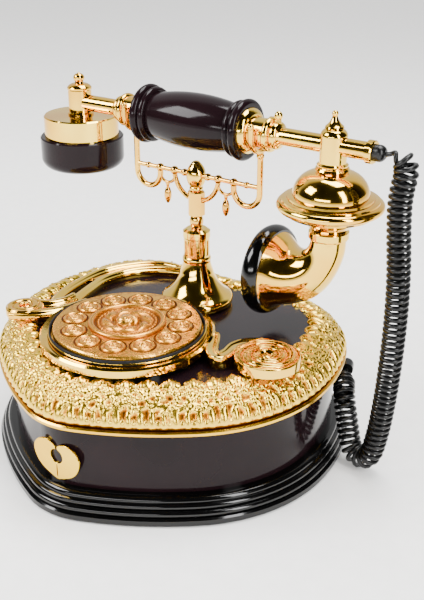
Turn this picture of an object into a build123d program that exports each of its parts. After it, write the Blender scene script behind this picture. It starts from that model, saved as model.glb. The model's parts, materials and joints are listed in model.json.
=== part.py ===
"""Cradle telephone in the old French style: a heart-plan base with a round keypad, a column with a
sprung cradle, and a level handset with an ear cup at one end and a horn at the other.

Millimetres. The origin is on the table under the column's axis, the front is -Y and up is +Z.
"""

import math
import os

from build123d import *

os.makedirs("parts", exist_ok=True)

# ---- plan of the base: one half as tangent arcs from the nose to the middle of the back
NOSE_Y = -151.0
NOSE_R, NOSE_TURN = 50.0, 22.0
FLANK_R, FLANK_TURN = 230.0, 18.0
SHOULDER_R, SHOULDER_TURN = 100.0, 50.0
SIDE_R, SIDE_TURN = 150.0, 23.0
CORNER_R, CORNER_TURN = 60.0, 67.0
CORNER_X, CORNER_Y = 49.0, 1.5
BACK_Y = CORNER_Y + CORNER_R

# ---- heights of the base
PAD_T = 1.2
PLATE_T = 1.2
PLATE_TOP = PAD_T + PLATE_T
PLINTH_BOTTOM = 0.4
PLINTH_TOP = 17.0
RIM_Z = 58.6
TRAY_T = 3.2
BAND_Z = RIM_Z + TRAY_T
DECK_Z = 80.0
DECK_T = 3.0

# ---- insets from the plinth's edge
PAD_INSET = 5.0
WALL_INSET = 11.5
WALL_T = 2.5
RIM_INSET = 3.5
BAND_INSET = 5.2
BAND_INNER = 24.5
DECK_INSET = 22.0
TRAY_INNER = 25.5

# ---- keypad
DIAL_Y = -72.5
RING_R, RING_INNER_R = 53.2, 47.6
RING_Z, RING_T = 84.2, 5.8
CUP_R = 50.0
PLATE_R = 44.2
PLATE_Z = 93.8
BUTTON_COUNT = 12
BUTTON_CIRCLE_R = 33.0
BUTTON_START = 25.0
BUTTON_R = 7.2
BUTTON_GAP = 0.35
BUTTON_TRAVEL = 1.2

# ---- column and cradle
PLUNGER_R = 2.4
RUNNING = 0.06
COLUMN_TOP = 132.7
STEM_BOTTOM = 133.0
BAR_Z = 168.4
BAR_R = 1.5
ARM_X = 47.45
ARM_R = 1.9
LYRE_X = 17.0
HOOK_X = 28.5

# ---- handset
AXIS_Z = 202.5
TUBE_R = 5.3
NECK_R = 9.0
FORK_GAP = 0.3
EAR_X = -95.2
MOUTH_X = 95.8
GRIP_HALF = 29.5
COLLAR_END = 39.5
TUBE_END = 121.5
HORN_X, HORN_Z, HORN_R = 56.2, 117.5, 28.2

# ---- coiled cord
COIL_R = 7.25


def plan(inset):
    """The base's plan, drawn in from the plinth's edge by inset."""
    with BuildSketch(mode=Mode.PRIVATE) as face:
        with BuildLine():
            nose = JernArc((0, NOSE_Y + inset), (1, 0), NOSE_R - inset, NOSE_TURN)
            flank = JernArc(nose @ 1, nose % 1, FLANK_R - inset, FLANK_TURN)
            shoulder = JernArc(flank @ 1, flank % 1, SHOULDER_R - inset, SHOULDER_TURN)
            side = JernArc(shoulder @ 1, shoulder % 1, SIDE_R - inset, SIDE_TURN)
            corner = JernArc(side @ 1, side % 1, CORNER_R - inset, CORNER_TURN)
            Line(corner @ 1, (0, (corner @ 1).Y))
            mirror(about=Plane.YZ)
        make_face()
    return face.sketch


def plan_path():
    """The plinth's edge as one closed path that starts at the nose."""
    return plan(0).faces()[0].outer_wire()


EDGE = plan_path()
NOSE_PLANE = Plane(origin=(0, NOSE_Y, 0), x_dir=(0, 1, 0), z_dir=(1, 0, 0))


def bead(x, z, r):
    """A ball ornament on the cradle's plane."""
    with Locations((x, 0, z)):
        Sphere(r)


# =====================================================================================
# Base
# =====================================================================================

SCREW_SPOTS = [
    (0, NOSE_Y + 19),
    (97, -34),
    (-97, -34),
    (45, BACK_Y - 19),
    (-45, BACK_Y - 19),
]
SCREW_R, SCREW_HEAD_R = 1.5, 3.4

with BuildPart() as felt_pad:
    add(plan(PAD_INSET))
    extrude(amount=PAD_T)
    with Locations(*[(x, y, 0) for x, y in SCREW_SPOTS]):
        Cylinder(SCREW_HEAD_R + 1, 3 * PAD_T, mode=Mode.SUBTRACT)
felt_pad.part.label = "felt_pad"
export_step(felt_pad.part, "parts/felt_pad.step")

# ---- steel bottom plate with four pressed studs for the circuit board
BOARD_Z = 10.0
BOARD_W, BOARD_L, BOARD_T = 90.0, 60.0, 1.6
BOARD_Y = -20.0
STUDS = [(x, BOARD_Y + y) for x in (-38, 38) for y in (-24, 24)]

with BuildPart() as base_plate:
    with BuildSketch(Plane.XY.offset(PAD_T)):
        add(plan(PAD_INSET))
    extrude(amount=PLATE_T)
    with Locations(*[(x, y, (PLATE_TOP + BOARD_Z) / 2) for x, y in STUDS]):
        Cylinder(3, BOARD_Z - PLATE_TOP)
    with Locations(*[(x, y, PAD_T) for x, y in SCREW_SPOTS]):
        Cylinder(SCREW_R, 4 * PLATE_T, mode=Mode.SUBTRACT)
base_plate.part.label = "base_plate"
export_step(base_plate.part, "parts/base_plate.step")

# ---- moulded plinth: foot slab, two beads and a cove, hollow inside
BOSS_TOP = 14.0
with BuildPart() as plinth:
    with BuildSketch(NOSE_PLANE):
        with BuildLine():
            Polyline((PAD_INSET, PLINTH_BOTTOM), (0.8, PLINTH_BOTTOM), (0, 1.3), (0, 4.6), (0.9, 5.5))
            Line((0.9, 5.5), (2.3, 5.7))
            ThreePointArc((2.3, 5.7), (1.1, 7.6), (2.3, 9.5))
            Line((2.3, 9.5), (3.9, 9.7))
            ThreePointArc((3.9, 9.7), (3.0, 11.4), (3.9, 13.1))
            Line((3.9, 13.1), (5.4, 13.3))
            ThreePointArc((5.4, 13.3), (6.3, 15.6), (8.6, 16.5))
            Polyline((8.6, 16.5), (8.6, PLINTH_TOP), (14, PLINTH_TOP), (14, PLATE_TOP))
            Polyline((14, PLATE_TOP), (PAD_INSET, PLATE_TOP), (PAD_INSET, PLINTH_BOTTOM))
        make_face()
    sweep(path=EDGE)
    with Locations(*[(x, y, (PLATE_TOP + BOSS_TOP) / 2) for x, y in SCREW_SPOTS]):
        Cylinder(6, BOSS_TOP - PLATE_TOP)
        Cylinder(SCREW_R, 2 * BOSS_TOP, mode=Mode.SUBTRACT)
plinth.part.label = "plinth"
export_step(plinth.part, "parts/plinth.step")

SCREW_TIP = 12.0
with BuildPart() as base_screws:
    with Locations(*[(x, y, 0.2) for x, y in SCREW_SPOTS]):
        Cylinder(SCREW_HEAD_R, PAD_T - 0.2, align=(Align.CENTER, Align.CENTER, Align.MIN))
        Cylinder(SCREW_R, SCREW_TIP, align=(Align.CENTER, Align.CENTER, Align.MIN))
        Cylinder(0.9, 1.2, align=(Align.CENTER, Align.CENTER, Align.CENTER), mode=Mode.SUBTRACT)
base_screws.part.label = "base_screws"
export_step(base_screws.part, "parts/base_screws.step")

# ---- cord gland: a straight stub through the wall, a round knuckle and a boot that faces the cord
GLAND_R = 4.5
CORD_IN = Vector(100.0, 26.5, 47.8)
CORD_NEXT = Vector(105.5, 13.0, 46.5)
BOOT_DIR = (CORD_NEXT - CORD_IN).normalized()
KNUCKLE = CORD_IN - BOOT_DIR * 6.0
INWARD = (Vector(CORNER_X, CORNER_Y, KNUCKLE.Z) - KNUCKLE).normalized()
STUB_LENGTH = 14.0
with BuildPart() as base_cord_gland:
    with BuildSketch(Plane(origin=KNUCKLE, z_dir=BOOT_DIR)):
        Circle(GLAND_R)
    extrude(amount=6.0)
    with BuildSketch(Plane(origin=KNUCKLE, z_dir=INWARD)):
        Circle(GLAND_R)
    extrude(amount=STUB_LENGTH)
    with Locations(KNUCKLE):
        Sphere(GLAND_R)
base_cord_gland.part.label = "base_cord_gland"
export_step(base_cord_gland.part, "parts/base_cord_gland.step")

# ---- wall jack for the exchange line, in the middle of the back wall
JACK_W, JACK_H, JACK_L = 16.0, 14.0, 18.0
JACK_Z = 32.0
SOCKET_W, SOCKET_H, SOCKET_L = 11.7, 7.0, 13.0
WALL_BACK_Y = BACK_Y - WALL_INSET
with BuildPart() as line_jack:
    with Locations((0, WALL_BACK_Y - JACK_L / 2, JACK_Z)):
        Box(JACK_W, JACK_L, JACK_H)
    with Locations((0, WALL_BACK_Y - SOCKET_L / 2, JACK_Z)):
        Box(SOCKET_W, SOCKET_L, SOCKET_H, mode=Mode.SUBTRACT)
    with Locations((0, WALL_BACK_Y - SOCKET_L / 2, JACK_Z + SOCKET_H / 2)):
        Box(5, SOCKET_L, 4, mode=Mode.SUBTRACT)
line_jack.part.label = "line_jack"
export_step(line_jack.part, "parts/line_jack.step")

# ---- heart-shaped lock plate on the nose, with a keyhole and two rivets
HEART_TIP_Z, HEART_NOTCH_Z, HEART_LOBE_Z = 18.4, 40.6, 44.0
HEART_T = 1.2
HEART_Y = NOSE_Y + WALL_INSET
KEYHOLE_R = 4.6
KEYHOLE_Z = 34.6
RIVET_X, RIVET_Z = 10.5, 36.0
with BuildPart() as escutcheon:
    with BuildSketch(Plane(origin=(0, HEART_Y, 0), x_dir=(1, 0, 0), z_dir=(0, -1, 0))):
        with BuildLine():
            lobe = ThreePointArc((0, HEART_NOTCH_Z), (9.0, HEART_LOBE_Z), (17.2, 37.6))
            Spline(lobe @ 1, (14.8, 27.2), (0, HEART_TIP_Z), tangents=[lobe % 1, (-0.92, -0.39)])
            mirror(about=Plane.YZ)
        make_face()
        with Locations((0, KEYHOLE_Z)):
            Circle(KEYHOLE_R, mode=Mode.SUBTRACT)
        with Locations((0, HEART_NOTCH_Z)):
            Rectangle(1.6, 6, mode=Mode.SUBTRACT)
    extrude(amount=HEART_T)
    fillet(escutcheon.faces().sort_by(Axis.Y)[0].outer_wire().edges(), 0.4)
    with Locations((RIVET_X, HEART_Y, RIVET_Z), (-RIVET_X, HEART_Y, RIVET_Z)):
        Cylinder(1.0, 8, rotation=(90, 0, 0), align=(Align.CENTER, Align.CENTER, Align.MAX))
escutcheon.part.label = "escutcheon"
export_step(escutcheon.part, "parts/escutcheon.step")

with BuildPart() as body_shell:
    with BuildSketch(Plane.XY.offset(PLINTH_TOP)):
        add(plan(WALL_INSET))
        add(plan(WALL_INSET + WALL_T), mode=Mode.SUBTRACT)
    extrude(amount=RIM_Z - PLINTH_TOP)
    add(base_cord_gland.part, mode=Mode.SUBTRACT)
    add(escutcheon.part, mode=Mode.SUBTRACT)
    with Locations((0, WALL_BACK_Y, JACK_Z)):
        Box(JACK_W, 3 * WALL_T, JACK_H, mode=Mode.SUBTRACT)
body_shell.part.label = "body_shell"
export_step(body_shell.part, "parts/body_shell.step")

# ---- gallery tray: the plated lip round the top of the wall and the ledge inside it
with BuildPart() as gallery_tray:
    with BuildSketch(NOSE_PLANE):
        with BuildLine():
            Polyline((TRAY_INNER, RIM_Z), (RIM_INSET + 0.9, RIM_Z), (RIM_INSET, RIM_Z + 0.8))
            Polyline((RIM_INSET, RIM_Z + 0.8), (RIM_INSET, BAND_Z - 0.8), (RIM_INSET + 0.9, BAND_Z))
            Polyline((RIM_INSET + 0.9, BAND_Z), (TRAY_INNER, BAND_Z), (TRAY_INNER, RIM_Z))
        make_face()
    sweep(path=EDGE)
gallery_tray.part.label = "gallery_tray"
export_step(gallery_tray.part, "parts/gallery_tray.step")

# ---- floral band: a convex cast band over the tray; its flowers are finished on this surface
with BuildPart() as floral_band:
    with BuildSketch(NOSE_PLANE):
        with BuildLine():
            ThreePointArc((BAND_INSET, BAND_Z), (10.5, 75.5), (20.5, 83.0))
            ThreePointArc((20.5, 83.0), (23.4, 82.6), (BAND_INNER, DECK_Z))
            Line((BAND_INNER, DECK_Z), (BAND_INNER - 3, DECK_Z))
            ThreePointArc((BAND_INNER - 3, DECK_Z), (13.2, 73.6), (BAND_INSET + 3, BAND_Z))
            Line((BAND_INSET + 3, BAND_Z), (BAND_INSET, BAND_Z))
        make_face()
    sweep(path=EDGE)
floral_band.part.label = "floral_band"
export_step(floral_band.part, "parts/floral_band.step")

with BuildPart() as top_deck:
    with BuildSketch(Plane.XY.offset(DECK_Z - DECK_T)):
        add(plan(DECK_INSET))
    extrude(amount=DECK_T)
    with BuildSketch(Plane.XY.offset(BAND_Z)):
        add(plan(DECK_INSET))
        add(plan(TRAY_INNER), mode=Mode.SUBTRACT)
    extrude(amount=DECK_Z - DECK_T - BAND_Z)
    with Locations((0, 0, DECK_Z)):
        Cylinder(PLUNGER_R + 0.5, 4 * DECK_T, mode=Mode.SUBTRACT)
top_deck.part.label = "top_deck"
export_step(top_deck.part, "parts/top_deck.step")

# ---- inside the base
with BuildPart() as main_board:
    with Locations((0, BOARD_Y, BOARD_Z + BOARD_T / 2)):
        Box(BOARD_W, BOARD_L, BOARD_T)
    with Locations((-20, BOARD_Y, BOARD_Z + BOARD_T + 2), (12, BOARD_Y + 10, BOARD_Z + BOARD_T + 2)):
        Box(14, 10, 4)
main_board.part.label = "main_board"
export_step(main_board.part, "parts/main_board.step")

RINGER_X, RINGER_Y, RINGER_R = 68.0, -40.0, 16.0
with BuildPart() as ringer:
    with Locations((RINGER_X, RINGER_Y, PLATE_TOP)):
        Cylinder(RINGER_R, 9, align=(Align.CENTER, Align.CENTER, Align.MIN))
    with Locations((RINGER_X, RINGER_Y, PLATE_TOP + 9)):
        Cylinder(RINGER_R - 3, 4, align=(Align.CENTER, Align.CENTER, Align.MIN))
        Cylinder(3, 12, mode=Mode.SUBTRACT)
ringer.part.label = "ringer"
export_step(ringer.part, "parts/ringer.step")

PLUNGER_BOTTOM = 68.0
with BuildPart() as hook_switch:
    with Locations((11, 0, (62 + DECK_Z - DECK_T) / 2)):
        Box(12, 12, DECK_Z - DECK_T - 62)
    with Locations((1, 0, PLUNGER_BOTTOM - 1.6)):
        Box(9, 5, 1.2)
hook_switch.part.label = "hook_switch"
export_step(hook_switch.part, "parts/hook_switch.step")

# =====================================================================================
# Keypad in the shape of a dial
# =====================================================================================

DIAL = Plane(origin=(0, DIAL_Y, 0), x_dir=(1, 0, 0), z_dir=(0, -1, 0))
DIAL_AXIS = Axis((0, DIAL_Y, 0), (0, 0, 1))
BUTTONS = [
    (
        BUTTON_CIRCLE_R * math.cos(math.radians(BUTTON_START + k * 360 / BUTTON_COUNT)),
        DIAL_Y + BUTTON_CIRCLE_R * math.sin(math.radians(BUTTON_START + k * 360 / BUTTON_COUNT)),
    )
    for k in range(BUTTON_COUNT)
]
CUP_FLOOR = DECK_Z + 1.5
BOARD_R = 43.0

with BuildPart() as dial_cup:
    with Locations((0, DIAL_Y, DECK_Z)):
        Cylinder(CUP_R, RING_Z - DECK_Z, align=(Align.CENTER, Align.CENTER, Align.MIN))
    with Locations((0, DIAL_Y, CUP_FLOOR)):
        Cylinder(
            BOARD_R,
            RING_Z - CUP_FLOOR,
            align=(Align.CENTER, Align.CENTER, Align.MIN),
            mode=Mode.SUBTRACT,
        )
dial_cup.part.label = "dial_cup"
export_step(dial_cup.part, "parts/dial_cup.step")

KEY_BOARD_T = 1.2
with BuildPart() as keypad_board:
    with Locations((0, DIAL_Y, CUP_FLOOR)):
        Cylinder(BOARD_R, KEY_BOARD_T, align=(Align.CENTER, Align.CENTER, Align.MIN))
keypad_board.part.label = "keypad_board"
export_step(keypad_board.part, "parts/keypad_board.step")

MEMBRANE_Z = CUP_FLOOR + KEY_BOARD_T
MEMBRANE_T = 1.6
with BuildPart() as keypad_membrane:
    with Locations((0, DIAL_Y, MEMBRANE_Z)):
        Cylinder(BOARD_R - 0.5, MEMBRANE_T, align=(Align.CENTER, Align.CENTER, Align.MIN))
    with Locations(*[(x, y, MEMBRANE_Z + MEMBRANE_T) for x, y in BUTTONS]):
        Cylinder(2.0, 0.4, align=(Align.CENTER, Align.CENTER, Align.MIN))
keypad_membrane.part.label = "keypad_membrane"
export_step(keypad_membrane.part, "parts/keypad_membrane.step")

# ---- outer ring that stands over the deck
with BuildPart() as dial_ring:
    with BuildSketch(DIAL):
        with BuildLine():
            Polyline((RING_INNER_R, RING_Z), (RING_R - 0.4, RING_Z), (RING_R, RING_Z + 0.4))
            Polyline((RING_R, RING_Z + 0.4), (RING_R, RING_Z + 4.6), (RING_R - 1.2, RING_Z + RING_T))
            Polyline((RING_R - 1.2, RING_Z + RING_T), (RING_INNER_R + 0.8, RING_Z + RING_T - 0.6))
            Polyline(
                (RING_INNER_R + 0.8, RING_Z + RING_T - 0.6),
                (RING_INNER_R, RING_Z + 4.2),
                (RING_INNER_R, RING_Z),
            )
        make_face()
    revolve(axis=DIAL_AXIS)
dial_ring.part.label = "dial_ring"
export_step(dial_ring.part, "parts/dial_ring.step")

# ---- finger plate: a spun pan with a stepped side, a grooved waist and twelve holes
PAN_T = 2.4
with BuildPart() as finger_plate:
    with BuildSketch(DIAL):
        with BuildLine():
            Polyline((43.4, RING_Z), (46.8, RING_Z), (46.8, 86.6), (45.4, 86.8), (45.4, 87.5), (46.3, 87.7))
            Polyline((46.3, 87.7), (46.3, 89.3), (44.9, 89.5), (44.9, 90.2), (45.4, 90.4), (45.4, 91.6))
            ThreePointArc((45.4, 91.6), (45.0, 93.0), (PLATE_R, PLATE_Z))
            Polyline(
                (PLATE_R, PLATE_Z),
                (0, PLATE_Z),
                (0, PLATE_Z - PAN_T),
                (43.4, PLATE_Z - PAN_T),
                (43.4, RING_Z),
            )
        make_face()
    revolve(axis=DIAL_AXIS)
    with Locations(*[(x, y, PLATE_Z) for x, y in BUTTONS]):
        Cylinder(BUTTON_R + BUTTON_GAP, 4 * PAN_T, mode=Mode.SUBTRACT)
finger_plate.part.label = "finger_plate"
export_step(finger_plate.part, "parts/finger_plate.step")

# ---- turned medallion on the middle of the plate
with BuildPart() as dial_medallion:
    with BuildSketch(DIAL):
        with BuildLine():
            Polyline((0, PLATE_Z), (24, PLATE_Z), (23.8, PLATE_Z + 1.2))
            ThreePointArc((23.8, PLATE_Z + 1.2), (22.4, PLATE_Z + 2.3), (21, PLATE_Z + 1.4))
            ThreePointArc((21, PLATE_Z + 1.4), (18.5, PLATE_Z + 0.8), (16, PLATE_Z + 1.8))
            ThreePointArc((16, PLATE_Z + 1.8), (13, PLATE_Z + 2.9), (8, PLATE_Z + 3.2))
            ThreePointArc((8, PLATE_Z + 3.2), (4.5, PLATE_Z + 4.6), (1.5, PLATE_Z + 5.2))
            Polyline((1.5, PLATE_Z + 5.2), (0, PLATE_Z + 5.2), (0, PLATE_Z))
        make_face()
    revolve(axis=DIAL_AXIS)
dial_medallion.part.label = "dial_medallion"
export_step(dial_medallion.part, "parts/dial_medallion.step")

# ---- twelve push buttons: domed cap, keeping flange and stem
FLANGE_R = BUTTON_R + 0.9
FLANGE_Z = PLATE_Z - PAN_T - 0.35
STEM_Z = MEMBRANE_Z + MEMBRANE_T + 0.4 + BUTTON_TRAVEL + 0.4
for number, (x, y) in enumerate(BUTTONS, start=1):
    with BuildPart() as button:
        with BuildSketch(Plane(origin=(x, y, 0), x_dir=(1, 0, 0), z_dir=(0, -1, 0))):
            with BuildLine():
                Polyline((0, STEM_Z), (2.4, STEM_Z), (2.4, FLANGE_Z - 1), (FLANGE_R, FLANGE_Z - 1))
                Polyline(
                    (FLANGE_R, FLANGE_Z - 1),
                    (FLANGE_R, FLANGE_Z),
                    (BUTTON_R, FLANGE_Z),
                    (BUTTON_R, PLATE_Z + 0.4),
                )
                ThreePointArc((BUTTON_R, PLATE_Z + 0.4), (4.4, PLATE_Z + 1.5), (1.2, PLATE_Z + 1.9))
                Polyline((1.2, PLATE_Z + 1.9), (0, PLATE_Z + 1.9), (0, STEM_Z))
            make_face()
        revolve(axis=Axis((x, y, 0), (0, 0, 1)))
    button.part.label = f"button_{number}"
    export_step(button.part, f"parts/button_{number}.step")

# =====================================================================================
# Scrolls on the deck
# =====================================================================================

SCROLL_T = 6.0
CURL_X, CURL_Y, CURL_R, CURL_Z = -76.0, -84.0, 12.0, 84.2

# ---- left scroll: a curl beside the ring and two mouldings that run round the deck behind the column
INNER_RAIL = [(-61, -66), (-63, -54), (-67, -36), (-70, -16), (-67, 0), (-61, 12), (-51, 21.5), (-39, 28), (-25, 32)]
OUTER_RAIL = [(-66, -70), (-76, -53), (-80.5, -31), (-81, -9), (-77, 5), (-70, 16.5), (-61.5, 26), (-51.5, 31)]
OUTER_RAIL += [(-38, 32.8)]
SLIT_FILL = [(-75.5, -14), (-72, 2), (-66, 14), (-56.5, 24), (-45, 29.5), (-32, 31)]
SLIT_FILL_T = 3.0
with BuildPart() as left_scroll:
    with BuildSketch(Plane.XY.offset(DECK_Z)):
        with BuildLine():
            Spline(*INNER_RAIL)
        trace(line_width=7.5)
        with BuildLine():
            Spline(*OUTER_RAIL)
        trace(line_width=7)
    extrude(amount=SCROLL_T)
    with BuildSketch(Plane.XY.offset(DECK_Z)):
        with BuildLine():
            Spline(*SLIT_FILL)
        trace(line_width=10)
    extrude(amount=SLIT_FILL_T)
    with BuildSketch(Plane.XY.offset(CURL_Z)):
        with Locations((CURL_X, CURL_Y)):
            Circle(CURL_R)
            Circle(3, mode=Mode.SUBTRACT)
        with BuildLine():
            Line((-68, -80), (-55, -73))
        trace(line_width=10)
        with BuildLine():
            Line((-62, -76), (-62, -58))
        trace(line_width=9)
    extrude(amount=RING_T)
    add(dial_ring.part, mode=Mode.SUBTRACT)
    add(dial_cup.part, mode=Mode.SUBTRACT)
left_scroll.part.label = "left_scroll"
export_step(left_scroll.part, "parts/left_scroll.step")

# ---- right scroll: an S ribbon from the ring to a turned rosette that rests on deck and band
ROSETTE_X, ROSETTE_Y, ROSETTE_R = 88.0, -53.0, 19.5
with BuildPart() as right_scroll:
    with BuildSketch(Plane.XY.offset(RING_Z)):
        with BuildLine():
            Spline((45, -45), (51, -54), (58, -66), (64.5, -70), (66, -63), (65, -52), (69, -43), (77, -38))
        trace(line_width=4.5)
        with Locations((48.5, -41.5)):
            Circle(4.2)
    extrude(amount=RING_T - 1)
    with BuildSketch(Plane(origin=(ROSETTE_X, ROSETTE_Y, 0), x_dir=(1, 0, 0), z_dir=(0, -1, 0))):
        with BuildLine():
            Polyline((0, RING_Z), (ROSETTE_R - 1, RING_Z), (ROSETTE_R, RING_Z + 1), (ROSETTE_R, RING_Z + 4.6))
            ThreePointArc((ROSETTE_R, RING_Z + 4.6), (17.4, RING_Z + 6.2), (15, RING_Z + 4.4))
            ThreePointArc((15, RING_Z + 4.4), (12.6, RING_Z + 5.6), (10, RING_Z + 3.8))
            ThreePointArc((10, RING_Z + 3.8), (6, RING_Z + 5.4), (2, RING_Z + 6))
            Polyline((2, RING_Z + 6), (0, RING_Z + 6), (0, RING_Z))
        make_face()
    revolve(axis=Axis((ROSETTE_X, ROSETTE_Y, 0), (0, 0, 1)))
    with Locations((78, -48, DECK_Z)):
        Cylinder(4, RING_Z - DECK_Z + 1, align=(Align.CENTER, Align.CENTER, Align.MIN))
    add(dial_ring.part, mode=Mode.SUBTRACT)
right_scroll.part.label = "right_scroll"
export_step(right_scroll.part, "parts/right_scroll.step")

# =====================================================================================
# Column
# =====================================================================================

SPRING_BORE_R = 6.5
SPRING_BORE_TOP = 102.0
BELL_TOP = 110.0
COLLAR_Z = 96.0

with BuildPart() as column_bell:
    with BuildSketch(Plane.XZ):
        with BuildLine():
            Polyline((SPRING_BORE_R, DECK_Z), (21.5, DECK_Z))
            ThreePointArc((21.5, DECK_Z), (23.9, 83.4), (22.2, 87.2))
            ThreePointArc((22.2, 87.2), (14.8, 94.6), (11.0, 103.0))
            ThreePointArc((11.0, 103.0), (9.8, 106.6), (9.0, BELL_TOP))
            Polyline((9.0, BELL_TOP), (PLUNGER_R + RUNNING, BELL_TOP), (PLUNGER_R + RUNNING, SPRING_BORE_TOP))
            Polyline(
                (PLUNGER_R + RUNNING, SPRING_BORE_TOP),
                (SPRING_BORE_R, SPRING_BORE_TOP),
                (SPRING_BORE_R, DECK_Z),
            )
        make_face()
    revolve(axis=Axis.Z)
    add(dial_ring.part, mode=Mode.SUBTRACT)
    add(dial_cup.part, mode=Mode.SUBTRACT)
column_bell.part.label = "column_bell"
export_step(column_bell.part, "parts/column_bell.step")

# ---- fluted neck between a lower bead and a top collar
FLUTES = 10
with BuildPart() as column_neck:
    with BuildSketch(Plane.XZ):
        with BuildLine():
            Polyline((PLUNGER_R + 0.5, BELL_TOP), (8.4, BELL_TOP))
            ThreePointArc((8.4, BELL_TOP), (9.4, 112.0), (8.5, 114.0))
            Polyline((8.5, 114.0), (8.5, 126.5), (8.9, 127.2), (8.9, 131.2), (6.8, COLUMN_TOP))
            Polyline((6.8, COLUMN_TOP), (PLUNGER_R + 0.5, COLUMN_TOP), (PLUNGER_R + 0.5, BELL_TOP))
        make_face()
    revolve(axis=Axis.Z)
    with PolarLocations(9.3, FLUTES):
        with Locations((0, 0, 120.4)):
            Cylinder(1.5, 10.5, mode=Mode.SUBTRACT)
column_neck.part.label = "column_neck"
export_step(column_neck.part, "parts/column_neck.step")

SPRING_R, SPRING_WIRE_R = 4.6, 0.5
SPRING_LOW = DECK_Z + SPRING_WIRE_R + 0.2
SPRING_LENGTH = COLLAR_Z - DECK_Z - 2 * SPRING_WIRE_R - 0.5
with BuildPart() as hook_spring:
    with BuildLine():
        coil = Helix(pitch=SPRING_LENGTH / 5, height=SPRING_LENGTH, radius=SPRING_R, center=(0, 0, SPRING_LOW))
    with BuildSketch(Plane(origin=coil @ 0, z_dir=coil % 0)):
        Circle(SPRING_WIRE_R)
    sweep(path=coil, is_frenet=True)
hook_spring.part.label = "hook_spring"
export_step(hook_spring.part, "parts/hook_spring.step")

# =====================================================================================
# Cradle, which rides on the plunger
# =====================================================================================

PLUNGER_TOP = 137.0
with BuildPart() as cradle_plunger:
    with Locations((0, 0, PLUNGER_BOTTOM)):
        Cylinder(PLUNGER_R, PLUNGER_TOP - PLUNGER_BOTTOM, align=(Align.CENTER, Align.CENTER, Align.MIN))
    with Locations((0, 0, COLLAR_Z)):
        Cylinder(5.8, 1.2, align=(Align.CENTER, Align.CENTER, Align.MIN))
cradle_plunger.part.label = "cradle_plunger"
export_step(cradle_plunger.part, "parts/cradle_plunger.step")

# ---- stem: a ball and an eight-sided block
BLOCK_Z, BLOCK_TOP, BLOCK_R = 142.0, 158.0, 5.6
with BuildPart() as cradle_stem:
    with BuildSketch(Plane.XZ):
        with BuildLine():
            Polyline((0, STEM_BOTTOM), (3.2, STEM_BOTTOM))
            ThreePointArc((3.2, STEM_BOTTOM), (4.5, 137.2), (3.0, BLOCK_Z))
            Polyline((3.0, BLOCK_Z), (0, BLOCK_Z), (0, STEM_BOTTOM))
        make_face()
    revolve(axis=Axis.Z)
    with BuildSketch(Plane.XY.offset(BLOCK_Z)):
        RegularPolygon(BLOCK_R, 8, rotation=22.5)
    extrude(amount=BLOCK_TOP - BLOCK_Z)
    chamfer(cradle_stem.faces().sort_by(Axis.Z)[-1].edges(), 0.8)
    add(cradle_plunger.part, mode=Mode.SUBTRACT)
cradle_stem.part.label = "cradle_stem"
export_step(cradle_stem.part, "parts/cradle_stem.step")

# ---- crossbar with turned beads
with BuildPart() as cradle_bar:
    with Locations((0, 0, BAR_Z)):
        Cylinder(BAR_R, 2 * ARM_X, rotation=(0, 90, 0))
    for side in (-1, 1):
        bead(side * 9, BAR_Z, 2.4)
        bead(side * LYRE_X, BAR_Z, 2.8)
        bead(side * HOOK_X, BAR_Z, 2.7)
        bead(side * 38, BAR_Z, 2.1)
cradle_bar.part.label = "cradle_bar"
export_step(cradle_bar.part, "parts/cradle_bar.step")

# ---- egg-shaped head that the crossbar passes through
HEAD_TOP = 177.5
with BuildPart() as cradle_head:
    with BuildSketch(Plane.XZ):
        with BuildLine():
            Line((0, BLOCK_TOP), (3.6, BLOCK_TOP))
            ThreePointArc((3.6, BLOCK_TOP), (4.4, 159.4), (3.9, 160.8))
            ThreePointArc((3.9, 160.8), (6.3, 168.0), (3.0, 176.0))
            ThreePointArc((3.0, 176.0), (2.2, 177.0), (1.0, HEAD_TOP))
            Polyline((1.0, HEAD_TOP), (0, HEAD_TOP), (0, BLOCK_TOP))
        make_face()
    revolve(axis=Axis.Z)
    add(cradle_bar.part, mode=Mode.SUBTRACT)
cradle_head.part.label = "cradle_head"
export_step(cradle_head.part, "parts/cradle_head.step")

# ---- lyre bracket: two quarter hoops from the crossbar to the block
with BuildPart() as lyre_arms:
    with BuildLine(Plane.XZ):
        hoop = CenterArc((0, BAR_Z), LYRE_X, 180, 180)
    with BuildSketch(Plane(origin=hoop @ 0, z_dir=hoop % 0)):
        Circle(1.6)
    sweep(path=hoop)
    add(cradle_stem.part, mode=Mode.SUBTRACT)
    add(cradle_bar.part, mode=Mode.SUBTRACT)
lyre_arms.part.label = "lyre_arms"
export_step(lyre_arms.part, "parts/lyre_arms.step")

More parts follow.
